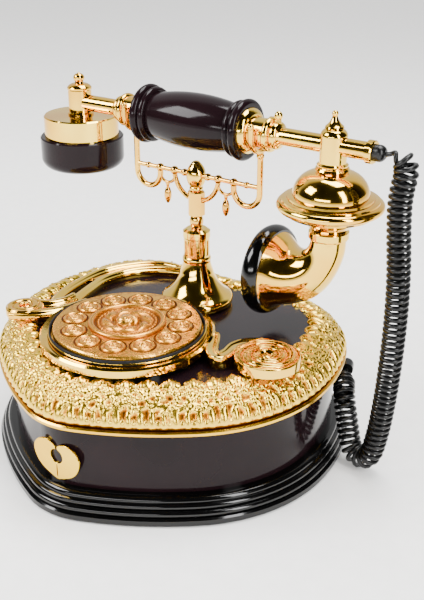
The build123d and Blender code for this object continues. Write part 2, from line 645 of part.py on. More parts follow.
# ---- side arms: a post that hooks under the crossbar and ends in a two-pronged fork for the neck
FORK_R = NECK_R + FORK_GAP + ARM_R
FORK_BOTTOM = AXIS_Z - FORK_R
HOOK_R = (ARM_X - HOOK_X) / 2
HOOK_Z = BAR_Z - 4.0
TIP_Z = AXIS_Z + 4.5
arms = {}
for name, side in (("left_arm", -1), ("right_arm", 1)):
    with BuildPart() as arm:
        with BuildLine(Plane.XZ):
            post = Line((side * ARM_X, FORK_BOTTOM), (side * ARM_X, HOOK_Z))
            bend = JernArc(post @ 1, (0, 0, -1), HOOK_R, -side * 180)
            Line(bend @ 1, (bend @ 1) + Vector(0, 0, BAR_Z - HOOK_Z - 0.5))
        with BuildSketch(Plane(origin=(side * ARM_X, 0, FORK_BOTTOM), z_dir=(0, 0, -1))):
            Circle(ARM_R)
        sweep()
        with BuildLine(Plane.YZ.offset(side * ARM_X)):
            fork = CenterArc((0, AXIS_Z), FORK_R, 180, 180)
        with BuildSketch(Plane(origin=fork @ 0, z_dir=fork % 0)):
            Circle(ARM_R)
        sweep(path=fork)
        for prong in (-1, 1):
            with Locations((side * ARM_X, prong * FORK_R, AXIS_Z)):
                Cylinder(ARM_R, TIP_Z - AXIS_Z, align=(Align.CENTER, Align.CENTER, Align.MIN))
            with Locations((side * ARM_X, prong * (FORK_R + 0.2), TIP_Z + 1)):
                Sphere(2.1)
        with Locations((side * ARM_X, 0, FORK_BOTTOM - 3)):
            Sphere(2.4)
        add(cradle_bar.part, mode=Mode.SUBTRACT)
    arms[side] = arm.part
    arm.part.label = name
    export_step(arm.part, f"parts/{name}.step")

# ---- small loops under the crossbar, each with a drop
DROP_X = (LYRE_X + HOOK_X) / 2
SWAG_Z = 159.6
with BuildPart() as cradle_drops:
    for side in (-1, 1):
        with BuildLine(Plane.XZ):
            swag = ThreePointArc((side * LYRE_X, BAR_Z), (side * DROP_X, SWAG_Z), (side * HOOK_X, BAR_Z))
        with BuildSketch(Plane(origin=swag @ 0, z_dir=swag % 0)):
            Circle(1.0)
        sweep(path=swag)
        with BuildSketch(Plane.XZ.shift_origin((side * DROP_X, 0, 0))):
            with BuildLine():
                Polyline((0, SWAG_Z), (1.3, SWAG_Z), (1.3, 158.0), (0.9, 156.5))
                ThreePointArc((0.9, 156.5), (2.3, 149.6), (0.7, 145.5))
                Polyline((0.7, 145.5), (0, 145.5), (0, SWAG_Z))
            make_face()
        revolve(axis=Axis((side * DROP_X, 0, 0), (0, 0, 1)))
        add(arms[side], mode=Mode.SUBTRACT)
    add(lyre_arms.part, mode=Mode.SUBTRACT)
    add(cradle_bar.part, mode=Mode.SUBTRACT)
cradle_drops.part.label = "cradle_drops"
export_step(cradle_drops.part, "parts/cradle_drops.step")

# =====================================================================================
# Handset
# =====================================================================================

HANDSET_AXIS = Axis((0, 0, AXIS_Z), (1, 0, 0))


def along(points):
    """Moves (x, radius) points up to the handset's axis."""
    return [(x, AXIS_Z + r) for x, r in points]


# ---- one tube from ear to cord, with a beaded end
with BuildPart() as handset_tube:
    with BuildSketch(Plane.XZ):
        with BuildLine():
            Polyline(*along([(EAR_X, 0), (EAR_X, TUBE_R), (117, TUBE_R), (117.6, 6.7), (TUBE_END - 0.6, 6.7)]))
            Polyline(*along([(TUBE_END - 0.6, 6.7), (TUBE_END, 6.1), (TUBE_END, 0), (EAR_X, 0)]))
        make_face()
    revolve(axis=HANDSET_AXIS)
handset_tube.part.label = "handset_tube"
export_step(handset_tube.part, "parts/handset_tube.step")

with BuildPart() as grip:
    with BuildSketch(Plane.XZ):
        with BuildLine():
            ThreePointArc(*along([(-GRIP_HALF, 14.2), (0, 17.4), (GRIP_HALF, 14.2)]))
            Polyline(*along([(GRIP_HALF, 14.2), (GRIP_HALF, TUBE_R), (-GRIP_HALF, TUBE_R), (-GRIP_HALF, 14.2)]))
        make_face()
    revolve(axis=HANDSET_AXIS)
grip.part.label = "grip"
export_step(grip.part, "parts/grip.step")

# ---- two-bead collars at the grip's ends
WAIST_X = 34.0
with BuildPart() as grip_collars:
    with BuildSketch(Plane.XZ):
        with BuildLine():
            Polyline(*along([(GRIP_HALF, TUBE_R), (GRIP_HALF, 15.2)]))
            ThreePointArc(*along([(GRIP_HALF, 15.2), (31.6, 17.3), (WAIST_X, 15.6)]))
            ThreePointArc(*along([(WAIST_X, 15.6), (36.6, 18.6), (COLLAR_END, 16.0)]))
            Polyline(*along([(COLLAR_END, 16.0), (COLLAR_END, TUBE_R), (GRIP_HALF, TUBE_R)]))
        make_face()
        mirror(about=Plane.YZ)
    revolve(axis=HANDSET_AXIS)
grip_collars.part.label = "grip_collars"
export_step(grip_collars.part, "parts/grip_collars.step")

# ---- neck ferrules: a cup against the collar, the plain neck that lies in the fork, and two beads
with BuildPart() as neck_ferrules:
    with BuildSketch(Plane.XZ):
        with BuildLine():
            Polyline(*along([(COLLAR_END, TUBE_R), (COLLAR_END, 14.0)]))
            ThreePointArc(*along([(COLLAR_END, 14.0), (41.4, 13.2), (43.2, NECK_R)]))
            Line(*along([(43.2, NECK_R), (52.4, NECK_R)]))
            ThreePointArc(*along([(52.4, NECK_R), (54.6, 10.6), (56.6, 7.6)]))
            ThreePointArc(*along([(56.6, 7.6), (59.2, 8.4), (61.6, 6.2)]))
            Polyline(*along([(61.6, 6.2), (62.4, TUBE_R), (COLLAR_END, TUBE_R)]))
        make_face()
        mirror(about=Plane.YZ)
    revolve(axis=HANDSET_AXIS)
    with BuildSketch(Plane.XZ):
        with BuildLine():
            Polyline((59.2, AXIS_Z + 7), (61.2, AXIS_Z + 7), (61.0, AXIS_Z + 9.6))
            ThreePointArc((61.0, AXIS_Z + 9.6), (61.6, AXIS_Z + 12.4), (60.0, AXIS_Z + 14.4))
            Polyline((60.0, AXIS_Z + 14.4), (59.2, AXIS_Z + 14.4), (59.2, AXIS_Z + 7))
        make_face()
    revolve(axis=Axis((59.2, 0, 0), (0, 0, 1)))
neck_ferrules.part.label = "neck_ferrules"
export_step(neck_ferrules.part, "parts/neck_ferrules.step")


def turned_about(x):
    """The upright plane and axis on which the pieces at one end of the handset are turned."""
    return Plane(origin=(x, 0, 0), x_dir=(1, 0, 0), z_dir=(0, -1, 0)), Axis((x, 0, 0), (0, 0, 1))


# ---- ear end: barrel with a ball finial, drum, cap and capsule
EAR_PLANE, EAR_AXIS = turned_about(EAR_X)
DRUM_R, DRUM_Z, DRUM_TOP = 24.9, 178.6, 194.0
CAP_R, CAP_Z, CAP_TOP = 28.0, 158.6, 180.0

with BuildPart() as ear_barrel:
    with BuildSketch(EAR_PLANE):
        with BuildLine():
            Polyline((0, DRUM_TOP), (8.6, DRUM_TOP), (8.6, 195.2), (7.8, 196), (7.8, 210.4))
            Polyline((7.8, 210.4), (8.2, 211), (8.2, 212))
            ThreePointArc((8.2, 212), (6.2, 213.9), (3.0, 214.6))
            Line((3.0, 214.6), (2.6, 215.8))
            ThreePointArc((2.6, 215.8), (3.7, 218.4), (1.2, 221.0))
            Polyline((1.2, 221.0), (0, 222.0), (0, DRUM_TOP))
        make_face()
    revolve(axis=EAR_AXIS)
    add(handset_tube.part, mode=Mode.SUBTRACT)
ear_barrel.part.label = "ear_barrel"
export_step(ear_barrel.part, "parts/ear_barrel.step")

with BuildPart() as ear_drum:
    with BuildSketch(EAR_PLANE):
        with BuildLine():
            Polyline((0, DRUM_TOP), (DRUM_R - 0.8, DRUM_TOP), (DRUM_R, DRUM_TOP - 0.8), (DRUM_R, DRUM_Z))
            Polyline(
                (DRUM_R, DRUM_Z),
                (DRUM_R - 1.6, DRUM_Z),
                (DRUM_R - 1.6, DRUM_TOP - 1.6),
                (0, DRUM_TOP - 1.6),
            )
            Line((0, DRUM_TOP - 1.6), (0, DRUM_TOP))
        make_face()
    revolve(axis=EAR_AXIS)
ear_drum.part.label = "ear_drum"
export_step(ear_drum.part, "parts/ear_drum.step")

SOUND_HOLES = 6
with BuildPart() as ear_cap:
    with BuildSketch(EAR_PLANE):
        with BuildLine():
            Polyline((0, CAP_Z + 3), (7, CAP_Z + 3), (12, CAP_Z), (21, CAP_Z))
            ThreePointArc((21, CAP_Z), (26, CAP_Z + 2.2), (CAP_R, CAP_Z + 7.5))
            Polyline((CAP_R, CAP_Z + 7.5), (CAP_R, CAP_TOP - 0.8), (CAP_R - 0.8, CAP_TOP), (DRUM_R, CAP_TOP))
            Polyline((DRUM_R, CAP_TOP), (DRUM_R, DRUM_Z), (22.6, DRUM_Z))
            Polyline((22.6, DRUM_Z), (22.6, CAP_Z + 5.6), (0, CAP_Z + 5.6))
            Line((0, CAP_Z + 5.6), (0, CAP_Z + 3))
        make_face()
    revolve(axis=EAR_AXIS)
    with Locations((EAR_X, 0, CAP_Z)):
        Cylinder(1.4, 20, mode=Mode.SUBTRACT)
        with PolarLocations(5, SOUND_HOLES):
            Cylinder(1.2, 20, mode=Mode.SUBTRACT)
ear_cap.part.label = "ear_cap"
export_step(ear_cap.part, "parts/ear_cap.step")

with BuildPart() as receiver_capsule:
    with Locations((EAR_X, 0, CAP_Z + 5.6)):
        Cylinder(19, 9, align=(Align.CENTER, Align.CENTER, Align.MIN))
receiver_capsule.part.label = "receiver_capsule"
export_step(receiver_capsule.part, "parts/receiver_capsule.step")

# ---- mouth end: barrel with a cone finial, then one spun bell over the horn
MOUTH_PLANE, MOUTH_AXIS = turned_about(MOUTH_X)
BELL_Z, NECK_Z = 190.0, 146.0

with BuildPart() as mouth_barrel:
    with BuildSketch(MOUTH_PLANE):
        with BuildLine():
            Polyline((0, BELL_Z), (8.8, BELL_Z), (9.2, 191.6), (7.9, 192.8), (7.9, 207.6))
            ThreePointArc((7.9, 207.6), (7.2, 210.4), (5.2, 212.0))
            Polyline((5.2, 212.0), (5.6, 212.8), (5.2, 213.8))
            ThreePointArc((5.2, 213.8), (2.9, 216.2), (1.5, 219.4))
            ThreePointArc((1.5, 219.4), (1.9, 220.8), (0.8, 222.4))
            Polyline((0.8, 222.4), (0, 222.4), (0, BELL_Z))
        make_face()
    revolve(axis=MOUTH_AXIS)
    add(handset_tube.part, mode=Mode.SUBTRACT)
mouth_barrel.part.label = "mouth_barrel"
export_step(mouth_barrel.part, "parts/mouth_barrel.step")

with BuildPart() as mouth_bell:
    with BuildSketch(MOUTH_PLANE):
        with BuildLine():
            Polyline((0, BELL_Z), (9.6, BELL_Z), (10.2, 188.8), (9.0, 187.6), (10.4, 187.2))
            ThreePointArc((10.4, 187.2), (19.4, 182.2), (22.6, 173.6))
            Polyline((22.6, 173.6), (25.6, 173.0), (25.8, 171.8), (28.8, 171.2), (29.0, 170.2))
            ThreePointArc((29.0, 170.2), (31.6, 167.9), (29.4, 164.6))
            Polyline((29.4, 164.6), (26.6, 163.4), (26.0, 162.2))
            ThreePointArc((26.0, 162.2), (17.4, 158.6), (11.0, 152.4))
            Polyline((11.0, 152.4), (12.0, 151.4), (12.0, 147.6), (11.0, 146.6), (11.0, NECK_Z), (8.4, NECK_Z))
            Polyline((8.4, NECK_Z), (8.4, 152.6))
            ThreePointArc((8.4, 152.6), (15.6, 159.6), (24.0, 164.0))
            Polyline((24.0, 164.0), (27.0, 167.8), (20.6, 171.2))
            ThreePointArc((20.6, 171.2), (17.4, 180.6), (8.4, 185.2))
            Polyline((8.4, 185.2), (0, 185.2), (0, BELL_Z))
        make_face()
    revolve(axis=MOUTH_AXIS)
mouth_bell.part.label = "mouth_bell"
export_step(mouth_bell.part, "parts/mouth_bell.step")

with BuildPart() as transmitter_capsule:
    with Locations((MOUTH_X, 0, 174.0)):
        Cylinder(13, 4, align=(Align.CENTER, Align.CENTER, Align.MIN))
        Cylinder(8, 11.2, align=(Align.CENTER, Align.CENTER, Align.MIN))
transmitter_capsule.part.label = "transmitter_capsule"
export_step(transmitter_capsule.part, "parts/transmitter_capsule.step")

# ---- horn: rings lofted round a quarter bend that widens towards the mouth
BEND_R = NECK_Z - HORN_Z
BEND_X = MOUTH_X - BEND_R
HORN_WALL = 1.5
RING_T_X = 11.5
HORN_STATIONS = [(0, 10.2), (22.5, 11.2), (45, 13.6), (67.5, 17.0), (90, 20.6)]
HORN_LIP_R = 24.6


def horn_sections(thinner):
    """Round sections along the bend, each reduced by the wall when thinner is not zero."""
    planes = []
    for turn, r in HORN_STATIONS:
        angle = math.radians(turn)
        centre = (BEND_X + BEND_R * math.cos(angle), 0, NECK_Z - BEND_R * math.sin(angle))
        out = (-math.sin(angle), 0, -math.cos(angle))
        planes.append((Plane(origin=centre, x_dir=(0, 1, 0), z_dir=out), r))
    mouth = Plane(origin=(HORN_X + RING_T_X / 2, 0, HORN_Z), x_dir=(0, 1, 0), z_dir=(-1, 0, 0))
    planes.append((mouth, HORN_LIP_R))
    sections = []
    for plane, r in planes:
        with BuildSketch(plane, mode=Mode.PRIVATE) as section:
            Circle(r - thinner)
        sections.append(section.sketch)
    return sections


with BuildPart() as horn_hollow:
    loft(horn_sections(HORN_WALL))
with BuildPart() as horn_elbow:
    loft(horn_sections(0))
    add(horn_hollow.part, mode=Mode.SUBTRACT)
horn_elbow.part.label = "horn_elbow"
export_step(horn_elbow.part, "parts/horn_elbow.step")

RING_LOW_X, RING_HIGH_X = HORN_X - RING_T_X / 2, HORN_X + RING_T_X / 2
with BuildPart() as horn_ring:
    with BuildSketch(Plane.XZ):
        with BuildLine():
            Polyline((RING_HIGH_X, HORN_Z + 22.4), (RING_HIGH_X, HORN_Z + 25.8))
            ThreePointArc(
                (RING_HIGH_X, HORN_Z + 25.8),
                (HORN_X + 1.5, HORN_Z + HORN_R),
                (RING_LOW_X + 1.2, HORN_Z + 26.6),
            )
            Polyline(
                (RING_LOW_X + 1.2, HORN_Z + 26.6),
                (RING_LOW_X, HORN_Z + 24.4),
                (RING_LOW_X + 0.4, HORN_Z + 22.4),
            )
            Line((RING_LOW_X + 0.4, HORN_Z + 22.4), (RING_HIGH_X, HORN_Z + 22.4))
        make_face()
    revolve(axis=Axis((0, 0, HORN_Z), (1, 0, 0)))
horn_ring.part.label = "horn_ring"
export_step(horn_ring.part, "parts/horn_ring.step")

# ---- cord gland in the tube's end
GLAND_END = 128.0
with BuildPart() as handset_cord_gland:
    with BuildSketch(Plane.XZ):
        with BuildLine():
            Polyline(*along([(TUBE_END, 0), (TUBE_END, 4.8), (124.0, 4.8)]))
            ThreePointArc(*along([(124.0, 4.8), (126.5, 4.2), (GLAND_END, 2.4)]))
            Polyline(*along([(GLAND_END, 2.4), (GLAND_END, 0), (TUBE_END, 0)]))
        make_face()
    revolve(axis=HANDSET_AXIS)
handset_cord_gland.part.label = "handset_cord_gland"
export_step(handset_cord_gland.part, "parts/handset_cord_gland.step")

# =====================================================================================
# Coiled cord, as one tube of the coil's outer diameter
# =====================================================================================

ROUTE = [
    Vector(GLAND_END + 0.4, 0, AXIS_Z),
    Vector(147.0, -1.0, 202.0),
    Vector(144.5, -2.5, 182.0),
    Vector(144.5, -3.0, 160.0),
    Vector(144.8, -3.5, 136.0),
    Vector(145.0, -3.0, 110.0),
    Vector(144.5, -3.5, 82.0),
    Vector(143.0, -4.0, 55.0),
    Vector(141.0, -4.5, 31.0),
    Vector(139.5, -5.0, 7.9),
    Vector(121.0, -3.0, 7.9),
    Vector(116.5, 0.0, 29.0),
    Vector(110.5, 4.5, 42.0),
    CORD_NEXT,
    CORD_IN,
]
runs = [(b - a).length for a, b in zip(ROUTE, ROUTE[1:])]
turns = [
    (b - a).get_angle(c - b) for a, b, c in zip(ROUTE, ROUTE[1:], ROUTE[2:])
]
radii = [
    0.45 * min(before, after) / math.tan(math.radians(turn / 2))
    for before, after, turn in zip(runs, runs[1:], turns)
]
print("cord runs", [round(run, 1) for run in runs])
print("cord turns", [round(turn) for turn in turns])
print("cord radii", [round(radius, 1) for radius in radii])

with BuildPart() as coiled_cord:
    with BuildLine() as cord_line:
        FilletPolyline(*ROUTE, radius=radii)
    with BuildSketch(Plane(origin=cord_line.line @ 0, z_dir=cord_line.line % 0)):
        Circle(COIL_R)
    sweep(path=cord_line.line)
coiled_cord.part.label = "coiled_cord"
export_step(coiled_cord.part, "parts/coiled_cord.step")
cord_length = sum(edge.length for edge in cord_line.line.edges())
print("cord length", round(cord_length, 1))
print("cord volume over section times length", coiled_cord.part.volume / (math.pi * COIL_R**2 * cord_length))
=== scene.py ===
"""Cradle telephone in the old French style, finished for the studio.

Lengths are written in millimetres and turned to metres by mm(). The frame's origin is on the table
under the column, the front is -Y and up is +Z.
"""

import json
import math

import bpy
import numpy as np
from mathutils import Matrix, Vector


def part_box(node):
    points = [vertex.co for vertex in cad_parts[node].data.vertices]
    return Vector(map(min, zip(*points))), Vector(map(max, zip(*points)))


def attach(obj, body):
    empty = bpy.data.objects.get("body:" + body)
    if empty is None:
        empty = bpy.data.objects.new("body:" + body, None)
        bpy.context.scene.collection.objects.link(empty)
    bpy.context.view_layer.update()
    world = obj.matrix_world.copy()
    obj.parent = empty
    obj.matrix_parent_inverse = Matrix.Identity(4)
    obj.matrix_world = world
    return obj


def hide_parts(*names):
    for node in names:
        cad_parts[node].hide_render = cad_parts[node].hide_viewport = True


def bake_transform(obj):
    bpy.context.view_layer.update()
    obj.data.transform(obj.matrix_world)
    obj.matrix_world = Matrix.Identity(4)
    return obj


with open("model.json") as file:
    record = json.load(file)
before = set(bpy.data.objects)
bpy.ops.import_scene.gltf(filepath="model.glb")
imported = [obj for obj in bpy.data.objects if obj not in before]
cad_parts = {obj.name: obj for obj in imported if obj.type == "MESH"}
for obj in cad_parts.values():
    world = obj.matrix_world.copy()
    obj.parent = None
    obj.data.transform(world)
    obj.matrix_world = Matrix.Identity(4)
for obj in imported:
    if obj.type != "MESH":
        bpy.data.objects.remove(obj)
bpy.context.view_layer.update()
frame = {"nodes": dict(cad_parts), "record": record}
NODES = frame["nodes"]
TURN = 2 * math.pi


def mm(*lengths):
    """Millimetres to metres: one number, or a vector of three."""
    return lengths[0] / 1000 if len(lengths) == 1 else Vector(lengths) / 1000


def round_angles(count):
    """Even angles round a circle."""
    return np.linspace(0, TURN, count, endpoint=False)


# =====================================================================================
# Finishes
# =====================================================================================


def srgb(code):
    """A hex colour as the linear colour that a shader reads."""
    parts = [int(code[i : i + 2], 16) / 255 for i in (1, 3, 5)]
    return (*[c / 12.92 if c <= 0.04045 else ((c + 0.055) / 1.055) ** 2.4 for c in parts], 1)


def node(material, kind, settings=(), **links):
    """Adds a shader node. settings are its properties; links give a socket a value or another output.

    A socket is named by its label with _ for a space, or by i and its place in the list.
    """
    made = material.node_tree.nodes.new(kind)
    for key, value in dict(settings).items():
        setattr(made, key, value)
    for socket, value in links.items():
        place = int(socket[1:]) if socket[1:].isdigit() else socket.replace("_", " ")
        if isinstance(value, bpy.types.NodeSocket):
            material.node_tree.links.new(value, made.inputs[place])
        else:
            made.inputs[place].default_value = value
    return made


def grey(value):
    """A neutral linear colour."""
    return (value, value, value, 1)


def ramp(material, factor, stops):
    """A colour ramp with (position, colour) stops."""
    made = node(material, "ShaderNodeValToRGB", Fac=factor)
    for extra in stops[2:]:
        made.color_ramp.elements.new(extra[0])
    for element, (position, colour) in zip(made.color_ramp.elements, sorted(stops)):
        element.position = position
        element.color = colour
    return made.outputs["Color"]


def noise(material, size, detail):
    """Cloudy noise in object space whose features are about size millimetres."""
    where = node(material, "ShaderNodeTexCoord").outputs["Object"]
    made = node(material, "ShaderNodeTexNoise", Vector=where, Scale=1000 / size, Detail=detail)
    return made.outputs["Fac"]


def new_finish(name):
    """An empty material to be dressed."""
    material = bpy.data.materials.new(name)
    material.use_nodes = True
    return material


def dress(material, colour, rough, height, strength, depth, metallic=0.0, shine=0.5):
    """Gives the material's shader its colour, roughness and bump; depth is in millimetres."""
    shader = material.node_tree.nodes["Principled BSDF"]
    bump = node(material, "ShaderNodeBump", Strength=strength, Distance=mm(depth), Height=height)
    for socket, source in (("Base Color", colour), ("Roughness", rough), ("Normal", bump.outputs["Normal"])):
        material.node_tree.links.new(source, shader.inputs[socket])
    shader.inputs["Metallic"].default_value = metallic
    shader.inputs["Specular IOR Level"].default_value = shine
    return material


def gilt(name, pale, deep, rough, grain):
    """Polished brass under clear lacquer: a warm mirror with faint buffing haze and a soft cast skin."""
    made = new_finish(name)
    tone = ramp(made, noise(made, 38, 2), [(0.3, srgb(deep)), (0.7, srgb(pale))])
    haze = ramp(made, noise(made, 6, 4), [(0.3, grey(rough)), (0.75, grey(rough * 1.7))])
    return dress(made, tone, haze, noise(made, grain, 3), 0.25, 0.12, metallic=1.0)


def cast_gilt(name, pale, deep, painted_hollow_shade):
    """Cast and gilded relief: bright on high places, with painted shade in brown in the hollows, dull where
    the polish never reached.
    """
    made = new_finish(name)
    height = node(made, "ShaderNodeAttribute", {"attribute_name": "relief"}).outputs["Fac"]
    tone = ramp(made, height, [(0.0, srgb(painted_hollow_shade)), (0.32, srgb(deep)), (0.62, srgb(pale))])
    polish = ramp(made, height, [(0.05, grey(0.5)), (0.6, grey(0.24))])
    return dress(made, tone, polish, noise(made, 1.6, 5), 0.35, 0.25, metallic=1.0)


def lacquer(name, pale, deep, rough, shine):
    """Sprayed polyester lacquer: deep gloss, slight orange peel and a few rubbed patches."""
    made = new_finish(name)
    cloud = ramp(made, noise(made, 45, 2), [(0.3, srgb(deep)), (0.75, srgb(pale))])
    rub = ramp(made, noise(made, 9, 6), [(0.35, grey(rough)), (0.8, grey(rough * 1.8))])
    return dress(made, cloud, rub, noise(made, 2.5, 2), 0.12, 0.1, shine=shine)


def plain(name, pale, deep, rough, grain, depth, metallic=0.0, shine=0.5):
    """Moulded, pressed or plated stock: two close tones and a fine grain of grain millimetres."""
    made = new_finish(name)
    mottle = ramp(made, noise(made, grain * 4, 3), [(0.3, srgb(deep)), (0.7, srgb(pale))])
    tooth = noise(made, grain, 4)
    wear = ramp(made, tooth, [(0.3, grey(rough)), (0.8, grey(min(1, rough * 1.4)))])
    return dress(made, mottle, wear, tooth, 0.4, depth, metallic=metallic, shine=shine)


# The keypad's leafwork: the width of a leaf, and how often and how far its lines wander.
LEAFWORK = 3.45
LEAFWORK_DRIFT = 6.25
LEAFWORK_REACH = 9.0


def chased_brass(name):
    """Stamped brass for the keypad: a warmer tone, with scrolling leafwork pressed about 0.3 mm deep."""
    made = new_finish(name)
    where = node(made, "ShaderNodeTexCoord").outputs["Object"]
    drift = node(made, "ShaderNodeTexNoise", Vector=where, Scale=1000 / LEAFWORK_DRIFT, Detail=2.0)
    bent = node(made, "ShaderNodeVectorMath", {"operation": "MULTIPLY_ADD"}, i0=drift.outputs["Color"],
                i1=mm(*[LEAFWORK_REACH] * 3), i2=where)
    scroll = node(made, "ShaderNodeTexVoronoi", {"feature": "SMOOTH_F1"}, Vector=bent.outputs["Vector"],
                  Scale=1000 / LEAFWORK)
    leaf = ramp(made, scroll.outputs["Distance"], [(0.1, grey(1)), (0.3, grey(0.35)), (0.45, grey(0.9))])
    tone = ramp(made, leaf, [(0.08, srgb("#3E1C08")), (0.34, srgb("#C98226")), (0.9, srgb("#F8B63C"))])
    polish = ramp(made, leaf, [(0.1, grey(0.45)), (0.8, grey(0.27))])
    return dress(made, tone, polish, leaf, 0.45, 0.3, metallic=1.0)


# Mirror-bright turned and pressed parts, which carry most of the reflections.
GILT = gilt("polished lacquered brass", "#FFD95A", "#F2B63A", 0.07, 5)
# A little redder and duller, so the thin cradle stands apart from the deck's trim.
ROD_GILT = gilt("plated brass rod", "#F8C44C", "#DE9C38", 0.09, 3)
# Flat sheet that spreads its highlight, so the heart reads as pale gold.
SATIN_GILT = gilt("satin brass sheet", "#FACC3C", "#E6AC2C", 0.16, 4)
# Yellow crests over brown hollows of painted shade, which make the flowers of the band stand out.
CAST_GILT = cast_gilt("cast gilded zinc", "#FFD240", "#D9932A", "#3A1E08")
# The same painted shade in the hollows, in a warmer tone, for the pressed keys and the medallion.
KEY_GILT = cast_gilt("stamped key brass", "#FBB640", "#C87A22", "#32150A")
# Busy copper-toned leafwork between the keys.
CHASED = chased_brass("chased brass plate")
# Dark lines: round each key they are painted shade at the key's edge, and down the heart a seam where grime
# settles.
PATINA_AND_PAINTED_SHADE = plain("brass darkened with patina and painted shade", "#7A4518", "#43200A", 0.45, 1.5, 0.05, metallic=1.0)
# A black mirror for the plinth, the keypad's cup and the horn's rim.
BLACK = lacquer("black polyester lacquer", "#060606", "#020202", 0.08, 0.4)
# Near-black with a plum cast, and a weak shine so the sides, the grip and the ear cap stay dark.
BROWN = lacquer("dark brown polyester lacquer", "#170C0F", "#0E0709", 0.09, 0.14)
# The same brown lying flat, with a stronger sheen from above.
DECK = lacquer("brown lacquer on the deck", "#1A0F13", "#10080B", 0.12, 0.34)
# Black cord with soft highlights on every turn.
VINYL = plain("flexible black vinyl", "#050505", "#020202", 0.28, 2, 0.05, shine=0.35)
# A dull dark pad under the base.
FELT = plain("pressed black felt", "#1A1A1C", "#0E0E10", 0.9, 0.8, 0.3)
# Pale grey metal for the bottom plate, its screws and the spring.
ZINC = plain("zinc-plated steel", "#A9ABAE", "#8C8F93", 0.35, 1.5, 0.03, metallic=1.0)
# Matt dark grey under the keys.
RUBBER = plain("silicone keypad rubber", "#2B2B2C", "#1E1E1F", 0.7, 1.2, 0.05)
# Green circuit boards inside.
BOARD = plain("solder-masked fibreglass", "#1F5A34", "#174628", 0.4, 2, 0.04)
# Dark inner plastic with hardly any shine, which is also the painted shade in the keypad's groove.
MOULDED = plain("black moulded ABS", "#1B1B1C", "#131314", 0.45, 1, 0.05, shine=0.12)

SLOT_FINISH = {
    "felt": FELT,
    "steel": ZINC,
    "black_gloss": BLACK,
    "brown_gloss": BROWN,
    "gilt": GILT,
    "dial_gilt": CHASED,
    "keypad_rubber": RUBBER,
    "circuit_board": BOARD,
    "inner_plastic": MOULDED,
    "cord_black": VINYL,
}
for part in frame["record"]["subparts"]:
    held = NODES[part["node"]]
    held.data.materials.clear()
    held.data.materials.append(SLOT_FINISH[part["material_slot"]])
for rod in ("cradle_bar", "lyre_arms", "left_arm", "right_arm", "cradle_drops", "cradle_stem"):
    NODES[rod].data.materials[0] = ROD_GILT
for sheet in ("escutcheon", "gallery_tray"):
    NODES[sheet].data.materials[0] = SATIN_GILT
NODES["top_deck"].data.materials[0] = DECK


# =====================================================================================
# Making pieces
# =====================================================================================


def piece(name, mesh, finish, body, slot, *stands_for):
    """Links a finished mesh as a piece that rides on a body and stands for CAD nodes."""
    made = bpy.data.objects.new(name, mesh)
    bpy.context.scene.collection.objects.link(made)
    mesh.materials.append(finish)
    if stands_for:
        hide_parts(*stands_for)
    if body:
        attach(made, body)
    return made


def skin(name, grid, loop_u=True, loop_v=False, relief=None):
    """A smooth mesh over a grid of points, grid[u][v], in millimetres."""
    count_u, count_v = grid.shape[:2]
    index = np.arange(count_u * count_v).reshape(count_u, count_v)
    near_u = np.roll(index, -1, 0) if loop_u else index[1:]
    here = index if loop_u else index[:-1]
    if loop_v:
        quads = np.stack([here, near_u, np.roll(near_u, -1, 1), np.roll(here, -1, 1)], -1)
    else:
        quads = np.stack([here[:, :-1], near_u[:, :-1], near_u[:, 1:], here[:, 1:]], -1)
    mesh = bpy.data.meshes.new(name)
    mesh.from_pydata((grid.reshape(-1, 3) / 1000).tolist(), [], quads.reshape(-1, 4).tolist())
    mesh.shade_smooth()
    if relief is not None:
        values = relief.reshape(-1).astype(np.float32)
        mesh.attributes.new("relief", "FLOAT", "POINT").data.foreach_set("value", values)
    return mesh


# =====================================================================================
# Camera, floor and light
# =====================================================================================

# The standpoint is 0.68 m off, to the right of the front, and looks 25 degrees down.
AIM = Vector((-0.51926, 0.74553, -0.41779))
camera = bpy.data.objects.new("camera", bpy.data.cameras.new("camera"))
bpy.context.scene.collection.objects.link(camera)
camera.location = mm(339.57, -470.09, 347.92)
camera.rotation_mode = "QUATERNION"
camera.rotation_quaternion = AIM.to_track_quat("-Z", "Y")
camera.data.lens = 57.19
camera.data.sensor_width = 36
bpy.context.scene.camera = camera

FLOOR_HALF = 40.0
corners = [(x * FLOOR_HALF, y * FLOOR_HALF, 0) for x, y in ((-1, -1), (1, -1), (1, 1), (-1, 1))]
floor_mesh = bpy.data.meshes.new("floor")
floor_mesh.from_pydata(corners, [], [(0, 1, 2, 3)])
floor = bpy.data.objects.new("floor", floor_mesh)
bpy.context.scene.collection.objects.link(floor)
# Pale and dull, so that it shows soft shadows and no streaks.
floor_mesh.materials.append(plain("matt white paper", "#F4F3F1", "#EFEEEC", 0.8, 3, 0.02))

MIDDLE = Vector((0, -0.03, 0.11))


def softbox(name, place, width, height, watts):
    """A white rectangular soft light that faces the middle of the object, in metres."""
    data = bpy.data.lights.new(name, "AREA")
    data.shape = "RECTANGLE"
    data.size, data.size_y, data.energy = width, height, watts
    made = bpy.data.objects.new(name, data)
    bpy.context.scene.collection.objects.link(made)
    made.location = place
    made.rotation_mode = "QUATERNION"
    made.rotation_quaternion = (MIDDLE - Vector(place)).to_track_quat("-Z", "Y")


softbox("key softbox", (-0.75, -0.75, 0.95), 0.6, 0.6, 24)
softbox("right strip", (0.95, -0.35, 0.6), 0.22, 0.9, 12)
softbox("overhead box", (0.1, 0.25, 1.2), 0.8, 0.5, 22)
softbox("front strip", (0.15, -1.1, 0.35), 0.9, 0.12, 5)

